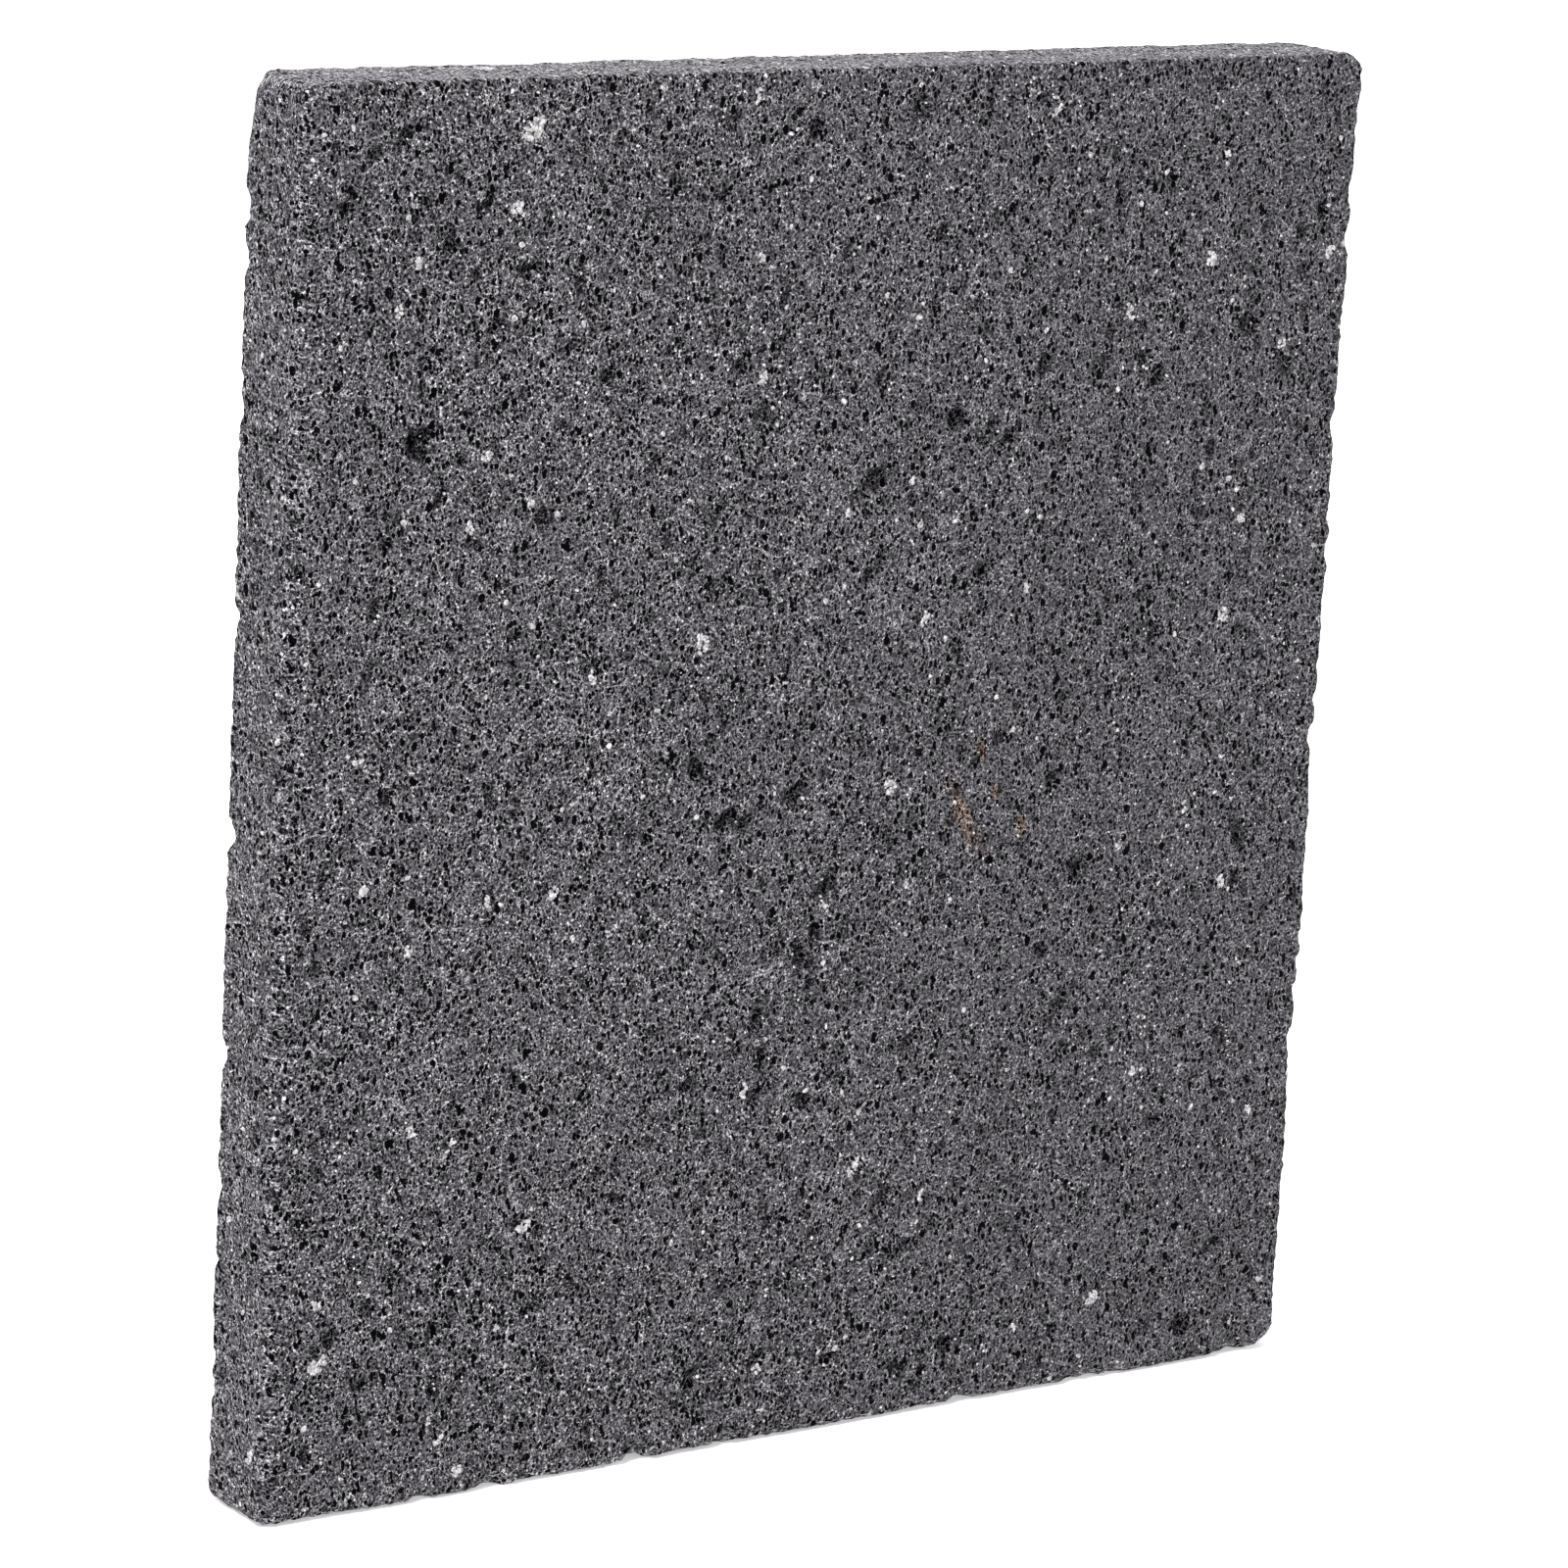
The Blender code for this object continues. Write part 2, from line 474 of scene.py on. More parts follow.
def knock_corners(block):
    """Knock flats on the worn corners."""
    for sides, taken in KNOCKS:
        inward = Vector([1 / (length * MM) for length in taken])
        for vert in block.verts:
            room = Vector([HALF[axis] - sides[axis] * vert.co[axis] for axis in range(3)])
            short = 1 - room.dot(inward)
            if short > 0:
                for axis in range(3):
                    vert.co[axis] -= sides[axis] * short * inward[axis] / inward.length_squared


def chip_arrises(block, chance):
    """Bite small crisp flakes out of the arrises and corners."""
    tree = KDTree(CHIPS)
    sizes = []
    for index in range(CHIPS):
        axis = chance.choice((0, 2))
        place = Vector([chance.choice((-1, 1)) * HALF[i] for i in range(3)])
        place[axis] = chance.uniform(-1, 1) * HALF[axis]
        tree.insert(place, index)
        share = chance.random() ** CHIP_SMALLNESS
        sizes.append(CHIP_RADIUS[0] + (CHIP_RADIUS[1] - CHIP_RADIUS[0]) * share)
    tree.balance()
    for vert in block.verts:
        for place, index, away in tree.find_range(vert.co, CHIP_REACH * CHIP_RADIUS[1]):
            reach = CHIP_REACH * sizes[index]
            if away < reach:
                inside = Vector((CHIP_AIM * place.x, 0, CHIP_AIM * place.z))
                bite = CHIP_DEPTH * sizes[index] * (1 - (away / reach) ** 3)
                if abs(place.x) < HALF.x:
                    bite *= TOP_WEAR if place.z > 0 else FOOT_CHIPPING
                vert.co += (inside - vert.co).normalized() * bite


def weather(block):
    """The gentle unevenness of the saw-cut faces and the wavering, gritty outline."""
    block.normal_update()
    for vert in block.verts:
        at = vert.co
        edge = max(0.0, 1 - min(room_to_side(at, 0), room_to_side(at, 2)) / WORN_BAND)
        if HALF.z - at.z < room_to_side(at, 0):
            edge *= TOP_WEAR
        above_foot = min(1.0, max(0.0, (HALF.z + at.z) / WORN_BAND))
        proud = PROUD * above_foot - FOOT_WEAR * (1 - above_foot)
        give = FACE_WEAR
        for wave, shift, all_over, at_outline in UNEVENNESS:
            give += (all_over + at_outline * edge) * noise.noise(at / wave + Vector(shift))
        vert.co -= vert.normal * (give - proud * edge)
        vert.co.z = max(vert.co.z, -HALF.z)


def mark_surfaces(block, saw_finish_and_painted_light, arris):
    """Record where the narrow saw-cut edges are, drawn lighter partly for their finish and partly
    as painted light, and where the rubbed arrises are.
    """
    block.normal_update()
    for vert in block.verts:
        if vert.normal.z > FACES_UP:
            most, square_on, less = TOP_SAW_FINISH_AND_PAINTED_LIGHT
        elif vert.normal.z < FACES_DOWN:
            most, square_on, less = FOOT_SAW_FINISH_AND_PAINTED_LIGHT
        else:
            most, square_on, less = SIDES_SAW_FINISH_AND_PAINTED_LIGHT
        # how much lighter the rock is drawn here: partly its saw finish, partly painted light
        vert[saw_finish_and_painted_light] = min(most, max(0.0, square_on - less * abs(vert.normal.y)))
        outline = min(room_to_side(vert.co, 0), HALF.z + vert.co.z)
        away = math.hypot(outline, room_to_side(vert.co, 1))
        vert[arris] = min(1.0, max(0.0, RUBBED_REACH - away / ARRIS_EASING))


def lay_flat(block):
    """A map with the front and back faces side by side above four strips for the edges."""
    chart = block.loops.layers.uv.new("OFBake")
    block.normal_update()
    for face in block.faces:
        middle = face.calc_center_median()
        outline = min(room_to_side(middle, 0), room_to_side(middle, 2))
        on_edge = outline < EDGE_STRIP and abs(face.normal.y) < EDGE_NORMAL
        if not on_edge:
            (sideways, upwards), row, which = (0, 2), FACE_ROW, 1
        elif room_to_side(middle, 0) < room_to_side(middle, 2):
            (sideways, upwards), row, which = (2, 1), UPRIGHT_ROW, 0
        else:
            (sideways, upwards), row, which = (0, 1), LEVEL_ROW, 2
        column = CHART_MARGIN + (0.0 if middle[which] < 0 else 0.5)
        for loop in face.loops:
            share = [0.5 + 0.5 * loop.vert.co[axis] / HALF[axis] for axis in range(3)]
            along = column + CHART_WIDTH * share[sideways]
            loop[chart].uv = (along, row[0] + row[1] * share[upwards])


def stone_mesh():
    """The porous stone: a sawn block, rubbed, knocked, pitted, weathered and chipped."""
    chance = random.Random(STONE_SEED)
    block = sawn_grid()
    jitter_cells(block, chance)
    for vert in block.verts:
        vert.co = rubbed(vert.co)
    knock_corners(block)
    # Marks for the colour: painted shade in pores and pits, the saw finish with painted light
    # round the outline, the rubbed arrises
    painted_hollow_shade = block.verts.layers.float.new("painted_hollow_shade")
    saw_finish_and_painted_light = block.verts.layers.float.new("saw_finish_and_painted_light")
    arris = block.verts.layers.float.new("arris")
    mark_surfaces(block, saw_finish_and_painted_light, arris)
    sink_pits(block, painted_hollow_shade, chance)
    weather(block)
    chip_arrises(block, chance)
    open_pores(block, painted_hollow_shade, chance)
    bmesh.ops.triangulate(block, faces=block.faces)
    bmesh.ops.recalc_face_normals(block, faces=block.faces)
    lay_flat(block)
    bmesh.ops.translate(block, vec=CENTRE, verts=block.verts)
    mesh = bpy.data.meshes.new("porous_stone")
    block.to_mesh(mesh)
    block.free()
    mesh.shade_smooth()
    mesh.set_sharp_from_angle(angle=SHARP_ANGLE)
    return mesh


# ---------------------------------------------------------------- the crystals


def crystal_grain(pile, centre, outward, lean, length, width, chance):
    """One angular grain, sunk into the surface by more than half of its thickness."""
    grain = bmesh.new()
    bmesh.ops.create_icosphere(grain, subdivisions=1, radius=0.5)
    for vert in grain.verts:
        vert.co *= chance.uniform(*GRAIN_RAGGEDNESS)
    bmesh.ops.scale(grain, vec=(width, GRAIN_THICKNESS * width, length), verts=grain.verts)
    bmesh.ops.rotate(grain, matrix=Matrix.Rotation(lean, 3, "Y"), verts=grain.verts)
    face_out = Vector((0, -1, 0)).rotation_difference(outward).to_matrix()
    bmesh.ops.rotate(grain, matrix=face_out, verts=grain.verts)
    bmesh.ops.translate(grain, vec=centre - outward * GRAIN_SINK * width, verts=grain.verts)
    bmesh.ops.recalc_face_normals(grain, faces=grain.faces)
    single = bpy.data.meshes.new("grain")
    grain.to_mesh(single)
    grain.free()
    pile.from_mesh(single)
    bpy.data.meshes.remove(single)


def large_crystal(pile, surface, place, length, width, lean, chance):
    """A large crystal, crazed into a patch of grains with gaps where some fell out."""
    centre = Vector(place) * MM
    _, normal, _, _ = surface.find_nearest(centre)
    outward = max(OUTWARD_WAYS, key=normal.dot)
    turn = Vector((0, -1, 0)).rotation_difference(outward).to_matrix()
    turn = turn @ Matrix.Rotation(lean, 3, "Y")
    squares = length * width * MM * MM / GRAIN ** 2
    for _ in range(max(FEWEST_GRAINS, round(GRAIN_CROWDING * squares))):
        around = chance.uniform(0, math.tau)
        off = GRAIN_SPREAD * chance.random() ** 0.5
        along = length * off * math.cos(around) * MM
        across = width * off * math.sin(around) * MM
        spot = centre + turn @ Vector((across, 0, along))
        hit, _, _, _ = surface.ray_cast(spot + outward * LIFT, -outward)
        if hit is None or (hit - spot).length > WAY_OFF:
            continue
        size = GRAIN * chance.uniform(*GRAIN_SIZE)
        turned = chance.uniform(0, math.pi)
        crystal_grain(pile, hit, outward, turned, size, size * GRAIN_WIDTH, chance)


def hidden_crystals(pile, surface, chance):
    """Large crystals on the back and the right-hand edge, about as many as on the front."""
    for index in range(HIDDEN_CRYSTALS):
        place = Vector([chance.uniform(LOW[axis], HIGH[axis]) for axis in range(3)])
        if index % EDGE_TURN:
            place.y = HIGH.y
        else:
            place.x = HIGH.x
        length = chance.uniform(*HIDDEN_LENGTH)
        width = length * chance.uniform(*HIDDEN_WIDTH)
        lean = chance.uniform(0, math.pi)
        large_crystal(pile, surface, place / MM, length, width, lean, chance)


def small_crystals(pile, surface, chance):
    """Single grains all over the stone, many small ones to each large one."""
    for _ in range(CRYSTALS):
        if chance.random() < FACE_SHARE:
            outward = chance.choice(OUTWARD_WAYS[:2])
        else:
            outward = chance.choice(OUTWARD_WAYS[2:])
        start = Vector([chance.uniform(-1, 1) * HALF[axis] for axis in range(3)]) + CENTRE
        share = chance.random() ** CRYSTAL_SMALLNESS
        length = CRYSTAL_SIZE[0] + (CRYSTAL_SIZE[1] - CRYSTAL_SIZE[0]) * share
        width = length * chance.uniform(*CRYSTAL_WIDTH)
        lean = chance.uniform(0, math.pi)
        start += outward * 3 * HALF.length
        hit, normal, _, _ = surface.ray_cast(start, -outward)
        if hit is not None and normal.dot(outward) > SQUARE_ON:
            crystal_grain(pile, hit, outward, lean, length, width, chance)


def crystal_mesh(rock):
    """Every crystal, laid on the finished stone's surface."""
    chance = random.Random(CRYSTAL_SEED)
    corners = [v.co for v in rock.vertices]
    surface = BVHTree.FromPolygons(corners, [p.vertices for p in rock.polygons])
    pile = bmesh.new()
    for place, length, width, lean in NOTABLE_CRYSTALS:
        large_crystal(pile, surface, place, length, width, math.radians(lean), chance)
    hidden_crystals(pile, surface, chance)
    small_crystals(pile, surface, chance)
    for vert in pile.verts:
        vert.co.y = min(max(vert.co.y, LOW.y - CRYSTAL_PROUD), HIGH.y + CRYSTAL_PROUD)
        vert.co.z = max(vert.co.z, LOW.z)
    mesh = bpy.data.meshes.new("feldspar_crystals")
    pile.to_mesh(mesh)
    pile.free()
    return mesh


# ---------------------------------------------------------------- the rock's finish


def bubble_depth(tree, place, spacing, smallest, largest):
    """How far inside a cut bubble a point lies, in mm: one bubble to a cell of this spacing.

    Radii are in cells. One below nothing is a cell with no bubble.
    """
    cells = add(tree, "ShaderNodeTexVoronoi", {"Vector": place, "Scale": 1 / spacing})
    own = add(tree, "ShaderNodeSeparateColor", {"Color": cells.outputs["Color"]}).outputs[0]
    sizes = {"Value": own, "To Min": smallest, "To Max": largest}
    radius = add(tree, "ShaderNodeMapRange", sizes).outputs[0]
    room = {0: radius, 1: cells.outputs["Distance"]}
    inside = add(tree, "ShaderNodeMath", room, operation="SUBTRACT").outputs[0]
    return add(tree, "ShaderNodeMath", {0: inside, 1: spacing}, operation="MULTIPLY").outputs[0]


def flecks(tree, place, spacing, largest, share):
    """Small pale grains: 1 inside them, in this share of the cells, and 0 in the rock."""
    cells = add(tree, "ShaderNodeTexVoronoi", {"Vector": place, "Scale": 1 / spacing})
    own = add(tree, "ShaderNodeSeparateColor", {"Color": cells.outputs["Color"]}).outputs[1]
    sizes = {"Value": own, "From Min": 1 - share, "To Min": 0.0, "To Max": largest}
    radius = add(tree, "ShaderNodeMapRange", sizes).outputs[0]
    depth = {0: radius, 1: cells.outputs["Distance"]}
    inside = add(tree, "ShaderNodeMath", depth, operation="SUBTRACT").outputs[0]
    limits = {"Value": inside, "From Min": 0.0, "From Max": 0.05}
    return add(tree, "ShaderNodeMapRange", limits).outputs[0]


def layered(tree, start, layers):
    """A starting number plus each layer times its weight."""
    total = start
    for value, weight in layers:
        inputs = {0: value, 1: weight, 2: total}
        total = add(tree, "ShaderNodeMath", inputs, operation="MULTIPLY_ADD").outputs[0]
    return total


# The bubbles that the material draws, dark in its colour as painted shade: the spacing of their
# cells in mm, and the smallest and the largest radius in cells. The mesh has only the pores that
# show singly.
FOAM_BUBBLES = (
    (1.0, -1.2, 0.44),
    (0.60, 0.06, 0.50),
    (0.36, -0.40, 0.55),
)
# Wide shallow dips, darkened a little in the colour as painted shade: spacing in mm, smallest and
# largest radius in cells
WIDE_DIPS = (1.4, -1.0, 0.60)

# A bubble's section, by depth inside its outline in mm: how high the rock stands there,
# which also draws the bubble black as painted shade and its rim light, partly as fresh
# broken rock and partly as painted highlight
BUBBLE_SECTION = (
    (-0.30, 0.54),
    (-0.13, 0.58),
    (-0.04, 0.90),
    (0.03, 0.28),
    (0.14, 0.12),
)


def section_of(tree, depth):
    """The height of the rock at this depth inside a bubble, which also sets its painted shade and
    highlight.
    """
    shallow, deep = BUBBLE_SECTION[0][0], BUBBLE_SECTION[-1][0]
    limits = {"Value": depth, "From Min": shallow, "From Max": deep}
    along = add(tree, "ShaderNodeMapRange", limits).outputs[0]
    ramp = add(tree, "ShaderNodeValToRGB", {"Fac": along})
    stops = ramp.color_ramp.elements
    stops[0].color = (BUBBLE_SECTION[0][1],) * 3 + (1,)
    stops[1].color = (BUBBLE_SECTION[-1][1],) * 3 + (1,)
    for inside, height in BUBBLE_SECTION[1:-1]:
        stop = stops.new((inside - shallow) / (deep - shallow))
        stop.color = (height,) * 3 + (1,)
    return ramp.outputs["Color"]


# The colours of the rock, of rusted rock and of the crystals, from their hollows, where the rock's
# darkest tones are painted shade, to their highest grains
BASALT_TONES = (
    (0.00, "#030304"),
    (0.15, "#201f21"),
    (0.30, "#3b3a3d"),
    (0.50, "#615f63"),
    (0.70, "#878589"),
    (0.85, "#aeacb0"),
    (1.00, "#e2e0e3"),
)
RUST_TONES = (
    (0.0, "#060403"),
    (0.5, "#6f5644"),
    (1.0, "#d6bca2"),
)
FELDSPAR_TONES = (
    (0.0, "#4a494d"),
    (0.4, "#878688"),
    (1.0, "#ccc9c5"),
)
ROCK_LEVEL = 0.405              # the tone of the bare rock, along its colour ramp

# The rust on the front face, one run and the spots round it: the middle and half-widths of
# each in mm, and its lean from upright in degrees
RUST_MARKS = (
    ((15.6, -5.0, 59.2), (1.5, 3.0, 7.0), -30),
    ((17.2, -5.0, 65.3), (1.0, 3.0, 2.0), -20),
    ((19.1, -5.0, 61.2), (0.9, 3.0, 1.6), -20),
    ((22.6, -5.0, 57.4), (1.3, 3.0, 2.2), -20),
)


def toned(tree, level, tones):
    """A colour ramp over the level, by position and sRGB colour."""
    ramp = add(tree, "ShaderNodeValToRGB", {"Fac": level})
    stops = ramp.color_ramp.elements
    stops[0].position, stops[0].color = tones[0][0], linear(tones[0][1])
    stops[1].position, stops[1].color = tones[-1][0], linear(tones[-1][1])
    for position, colour in tones[1:-1]:
        stop = stops.new(position)
        stop.color = linear(colour)
    return ramp.outputs["Color"]


def rusted(tree, in_mm, rock, level):
    """The rock's colour with faint brown marks of rust, thin and broken up by the foam."""
    away = 1.0
    for middle, spread, lean in RUST_MARKS:
        mark = {
            "Vector": in_mm,
            "Location": middle,
            "Rotation": (0, math.radians(lean), 0),
            "Scale": spread,
        }
        around = add(tree, "ShaderNodeMapping", mark, vector_type="TEXTURE").outputs[0]
        off = add(tree, "ShaderNodeVectorMath", {0: around}, operation="LENGTH").outputs["Value"]
        away = add(tree, "ShaderNodeMath", {0: off, 1: away}, operation="MINIMUM").outputs[0]
    soak = {"Vector": in_mm, "Scale": 1.1, "Detail": 3.0, "Roughness": 0.7}
    blotches = add(tree, "ShaderNodeTexNoise", soak).outputs["Fac"]
    near = {"Value": away, "From Min": 1.0, "From Max": 0.1, "To Min": -0.25, "To Max": 0.45}
    nearness = add(tree, "ShaderNodeMapRange", near).outputs[0]
    stain = layered(tree, -0.5, ((nearness, 1.0), (blotches, 1.0)))
    share = {"Value": stain, "From Min": 0.0, "From Max": 0.3, "To Min": 0.0, "To Max": 0.55}
    amount = add(tree, "ShaderNodeMapRange", share).outputs[0]
    brown = toned(tree, level, RUST_TONES)
    mixed = add(tree, "ShaderNodeMix", {"Factor": amount}, data_type="RGBA")
    tree.links.new(rock, mixed.inputs["A"])
    tree.links.new(brown, mixed.inputs["B"])
    return mixed.outputs["Result"]


def basalt():
    """Vesicular basalt, cut by a saw and left dry: a dull grey foam whose open bubbles are drawn
    black as painted shade.

    The cut walls between the bubbles are its lightest part, partly as fresh broken rock and partly
    as painted highlight, and the saw-cut top is lighter and smoother than the faces, its lightness
    partly its finish and partly painted light. It hardly shines anywhere.
    """
    material = bpy.data.materials.new("vesicular_basalt")
    material.use_nodes = True
    tree = material.node_tree
    shader = tree.nodes["Principled BSDF"]
    shader.inputs["Specular IOR Level"].default_value = 0.02
    place = add(tree, "ShaderNodeTexCoord").outputs["Object"]
    to_mm = {0: place, 1: (1000, 1000, 1000)}
    in_mm = add(tree, "ShaderNodeVectorMath", to_mm, operation="MULTIPLY").outputs[0]

    # The foam: round cells, bent out of true and drawn out along the lava's flow. A scale of
    # 2 is a pattern of half a millimetre, here and below.
    ragged = {"Vector": in_mm, "Scale": 1.8, "Detail": 3.0, "Roughness": 0.6}
    wobble = add(tree, "ShaderNodeTexNoise", ragged).outputs["Color"]
    shift = {0: wobble, 1: (0.6, 0.6, 0.6), 2: in_mm}
    bent = add(tree, "ShaderNodeVectorMath", shift, operation="MULTIPLY_ADD").outputs[0]
    stretch = {"Vector": bent, "Rotation": (0, 0.35, 0), "Scale": (1.2, 1.0, 0.85)}
    drawn = add(tree, "ShaderNodeMapping", stretch).outputs[0]
    depths = [bubble_depth(tree, drawn, *bubbles) for bubbles in FOAM_BUBBLES]
    depth = depths[0]
    for other in depths[1:]:
        depth = add(tree, "ShaderNodeMath", {0: depth, 1: other}, operation="MAXIMUM").outputs[0]
    foam = section_of(tree, depth)
    sunk = bubble_depth(tree, drawn, *WIDE_DIPS)
    sink = {"Value": sunk, "From Min": -0.04, "From Max": 0.15}
    dip = add(tree, "ShaderNodeMapRange", sink).outputs[0]

    # Crumbs of rock, lighter patches, pale specks and threads
    crumb = {"Vector": in_mm, "Scale": 3.4, "Detail": 3.0, "Roughness": 0.75}
    grain = add(tree, "ShaderNodeTexNoise", crumb).outputs["Fac"]
    cloud = {"Vector": in_mm, "Scale": 0.30, "Detail": 3.0, "Roughness": 0.6}
    patches = add(tree, "ShaderNodeTexNoise", cloud).outputs["Fac"]
    specks = flecks(tree, in_mm, 0.8, 0.26, 0.25)
    crazed = {"Vector": bent, "Scale": 0.55}
    walls = add(tree, "ShaderNodeTexVoronoi", crazed, feature="DISTANCE_TO_EDGE")
    apart = walls.outputs["Distance"]
    thin = {"Value": apart, "From Min": 0.012, "From Max": 0.045, "To Min": 1.0, "To Max": 0.0}
    threads = add(tree, "ShaderNodeMapRange", thin).outputs[0]

    # The foam is more open towards the left
    sideways = add(tree, "ShaderNodeSeparateXYZ", {"Vector": place}).outputs["X"]
    open_left = {
        "Value": sideways,
        "From Min": LOW.x / 2,
        "From Max": HIGH.x / 2,
        "To Min": 1.10,
        "To Max": 0.88,
    }
    openness = add(tree, "ShaderNodeMapRange", open_left).outputs[0]

    # What the mesh says: painted shade in pores and pits, the saw-cut sides drawn lighter partly
    # for their finish and partly as painted light, and arrises with rub marks on them
    painted_hollow_shade = add(tree, "ShaderNodeAttribute", attribute_name="painted_hollow_shade").outputs["Fac"]
    saw_finish_and_painted_light = add(tree, "ShaderNodeAttribute", attribute_name="saw_finish_and_painted_light").outputs["Fac"]
    arris = add(tree, "ShaderNodeAttribute", attribute_name="arris").outputs["Fac"]
    rubbing = {"Vector": in_mm, "Scale": (0.5, 0.5, 3.2)}
    stroked = add(tree, "ShaderNodeMapping", rubbing).outputs[0]
    scratch = {"Vector": stroked, "Scale": 1.2, "Detail": 2.0, "Roughness": 0.7}
    scratches = add(tree, "ShaderNodeTexNoise", scratch).outputs["Fac"]
    strokes = add(tree, "ShaderNodeMath", {0: scratches, 1: -0.49}, operation="ADD").outputs[0]
    rubs = add(tree, "ShaderNodeMath", {0: strokes, 1: arris}, operation="MULTIPLY").outputs[0]

    # How high the rock stands, from which its colour, shine and bump all follow: its colour is
    # darkened in the hollows as painted shade and lightened on the rims, partly as painted
    # highlight
    height = layered(tree, -0.55, ((foam, 1.0), (grain, 1.8), (dip, -0.14)))
    tones = (
        (height, 1.15),
        (patches, 0.20),
        # painted shade in pores and pits
        (painted_hollow_shade, -0.45),
        (specks, 0.8),
        (threads, 0.22),
    )
    open_foam = layered(tree, -1.255, tones)
    spread = {0: open_foam, 1: openness}
    foam_tone = add(tree, "ShaderNodeMath", spread, operation="MULTIPLY").outputs[0]
    # the saw-cut top, foot and sides drawn lighter: partly their finish, partly painted light
    level = layered(tree, ROCK_LEVEL, ((foam_tone, 1.0), (saw_finish_and_painted_light, 0.22), (rubs, 1.0)))
    rock = toned(tree, level, BASALT_TONES)
    tree.links.new(rusted(tree, in_mm, rock, level), shader.inputs["Base Color"])
    gloss = {"Value": level, "To Min": 1.0, "To Max": 0.75}
    tree.links.new(add(tree, "ShaderNodeMapRange", gloss).outputs[0], shader.inputs["Roughness"])
    bump = {"Height": height, "Strength": 1.0, "Distance": 0.35 * MM}
    tree.links.new(add(tree, "ShaderNodeBump", bump).outputs[0], shader.inputs["Normal"])
    return material


def feldspar():
    """Plagioclase feldspar, milky and crazed: off-white, grey in its cracks, a little glassy."""
    material = bpy.data.materials.new("plagioclase_feldspar")
    material.use_nodes = True
    tree = material.node_tree
    shader = tree.nodes["Principled BSDF"]
    shader.inputs["IOR"].default_value = 1.54
    shader.inputs["Specular IOR Level"].default_value = 0.4
    place = add(tree, "ShaderNodeTexCoord").outputs["Object"]
    to_mm = {0: place, 1: (1000, 1000, 1000)}
    in_mm = add(tree, "ShaderNodeVectorMath", to_mm, operation="MULTIPLY").outputs[0]
    milk = {"Vector": in_mm, "Scale": 2.2, "Detail": 3.0, "Roughness": 0.8}
    cloudy = add(tree, "ShaderNodeTexNoise", milk).outputs["Fac"]
    level = layered(tree, -1.0, ((cloudy, 3.0),))
    tree.links.new(toned(tree, level, FELDSPAR_TONES), shader.inputs["Base Color"])
    gloss = {"Value": cloudy, "To Min": 0.35, "To Max": 0.7}
    tree.links.new(add(tree, "ShaderNodeMapRange", gloss).outputs[0], shader.inputs["Roughness"])
    bump = {"Height": cloudy, "Strength": 0.6, "Distance": 0.15 * MM}
    tree.links.new(add(tree, "ShaderNodeBump", bump).outputs[0], shader.inputs["Normal"])
    return material


def finish(name, mesh, material):
    """Put a piece in the scene, riding with the stone."""
    mesh.materials.append(material)
    piece = bpy.data.objects.new(name, mesh)
    bpy.context.scene.collection.objects.link(piece)
    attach(piece, "root")
    return piece


# ---------------------------------------------------------------- the studio

LENS = 140.0                    # in mm
TURN = math.radians(-35.33)     # round the stone, towards its left-hand edge
DROP = math.radians(13.16)      # how far down the camera looks
ROLL = math.radians(2.92)       # how far it leans
DISTANCE = 0.5619               # from the camera to the point that it looks at
AIM = Vector((CENTRE.x - 5.3 * MM, LOW.y, CENTRE.z - 0.91 * MM))


def camera():
    """A long lens on the front face from its left, a little above it and leaning a little."""
    data = bpy.data.cameras.new("camera")
    data.lens = LENS
    data.sensor_width = 36.0
    data.clip_start = 0.01
    data.clip_end = 50
    eye = bpy.data.objects.new("camera", data)
    bpy.context.scene.collection.objects.link(eye)
    turn = Euler((math.pi / 2 - DROP, 0, TURN)).to_matrix() @ Euler((0, 0, ROLL)).to_matrix()
    eye.rotation_euler = turn.to_euler()
    eye.location = AIM + turn @ Vector((0, 0, DISTANCE))
    bpy.context.scene.camera = eye


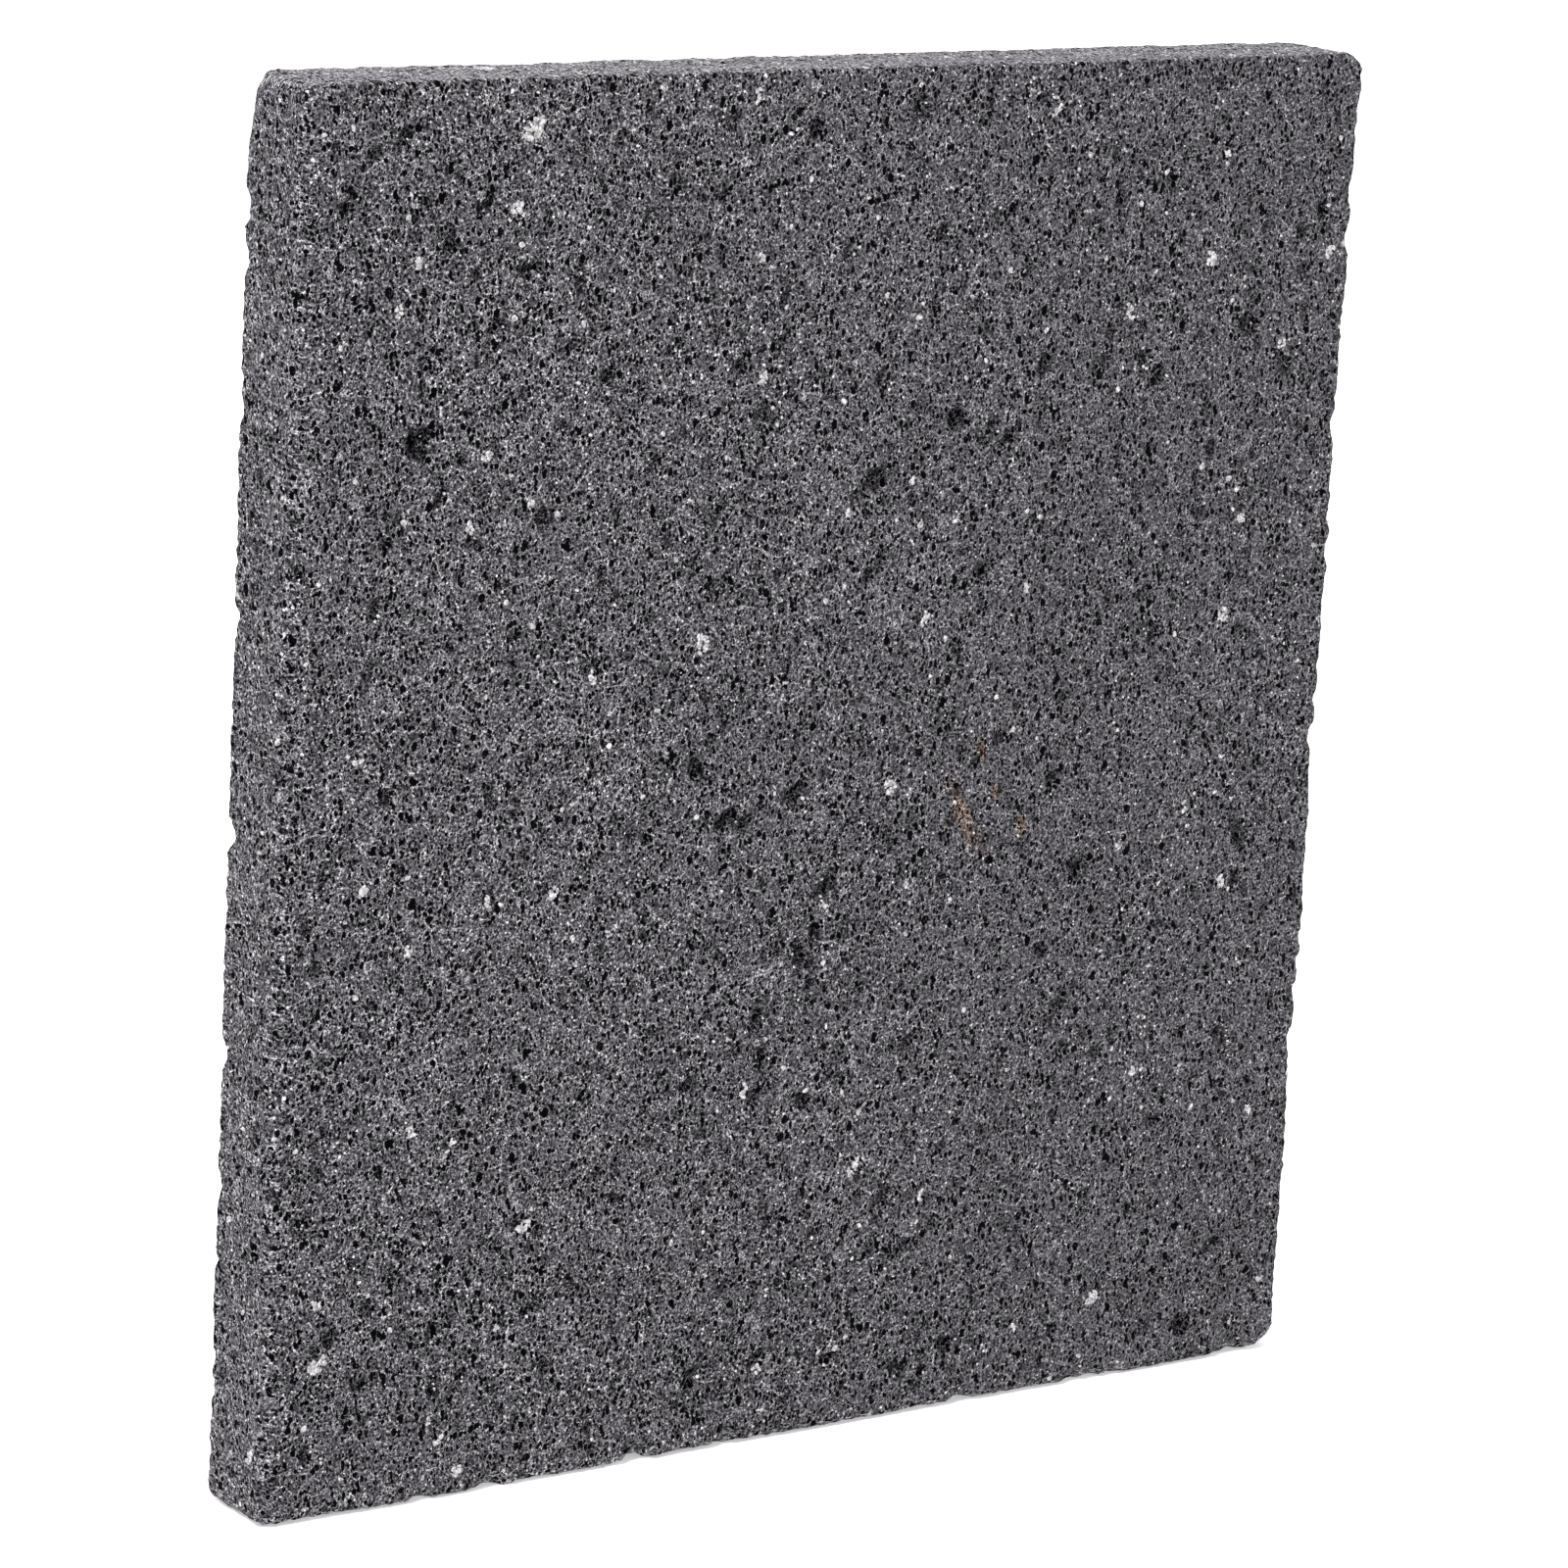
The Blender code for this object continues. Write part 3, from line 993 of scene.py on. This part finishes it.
def area_light(name, place, size, watts):
    """A soft round light that looks at the middle of the stone."""
    data = bpy.data.lights.new(name, "AREA")
    data.shape = "DISK"
    data.size = size
    data.energy = watts
    lamp = bpy.data.objects.new(name, data)
    bpy.context.scene.collection.objects.link(lamp)
    lamp.location = place
    lamp.rotation_euler = (Vector(place) - CENTRE).to_track_quat("Z", "Y").to_euler()


def surround():
    """White all round: full white where it is seen, a little less as light on the stone."""
    world = bpy.data.worlds.new("studio")
    world.use_nodes = True
    tree = world.node_tree
    background = tree.nodes["Background"]
    background.inputs["Color"].default_value = (1, 1, 1, 1)
    seen = add(tree, "ShaderNodeLightPath").outputs["Is Camera Ray"]
    glow = {"Value": seen, "To Min": 0.8, "To Max": 1.0}
    strength = add(tree, "ShaderNodeMapRange", glow).outputs[0]
    tree.links.new(strength, background.inputs["Strength"])
    return world


def white_paper():
    """Matt white paper that glows just enough to stay white in the stone's soft shadow."""
    material = bpy.data.materials.new("white_paper")
    material.use_nodes = True
    shader = material.node_tree.nodes["Principled BSDF"]
    shader.inputs["Base Color"].default_value = linear("#f2f2f2")
    shader.inputs["Roughness"].default_value = 0.9
    shader.inputs["Emission Color"].default_value = linear("#ffffff")
    shader.inputs["Emission Strength"].default_value = 0.4
    return material


def studio():
    """Two soft lights and a plain white floor under the stone."""
    scene = bpy.context.scene
    scene.view_settings.view_transform = "Standard"
    scene.world = surround()
    area_light("key", (-0.94, -0.76, 1.80), 0.72, 69.0)
    area_light("top", (0.1, 0.3, 1.2), 0.8, 6.0)
    sheet = bmesh.new()
    bmesh.ops.create_circle(sheet, cap_ends=True, segments=64, radius=6.0)
    bmesh.ops.translate(sheet, vec=(0, 0, LOW.z), verts=sheet.verts)
    mesh = bpy.data.meshes.new("floor")
    sheet.to_mesh(mesh)
    sheet.free()
    mesh.materials.append(white_paper())
    floor = bpy.data.objects.new("floor", mesh)
    scene.collection.objects.link(floor)


camera()
stone = finish("porous_stone", stone_mesh(), basalt())
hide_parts("stone_slab")
crystals = finish("feldspar_crystals", crystal_mesh(stone.data), feldspar())
studio()
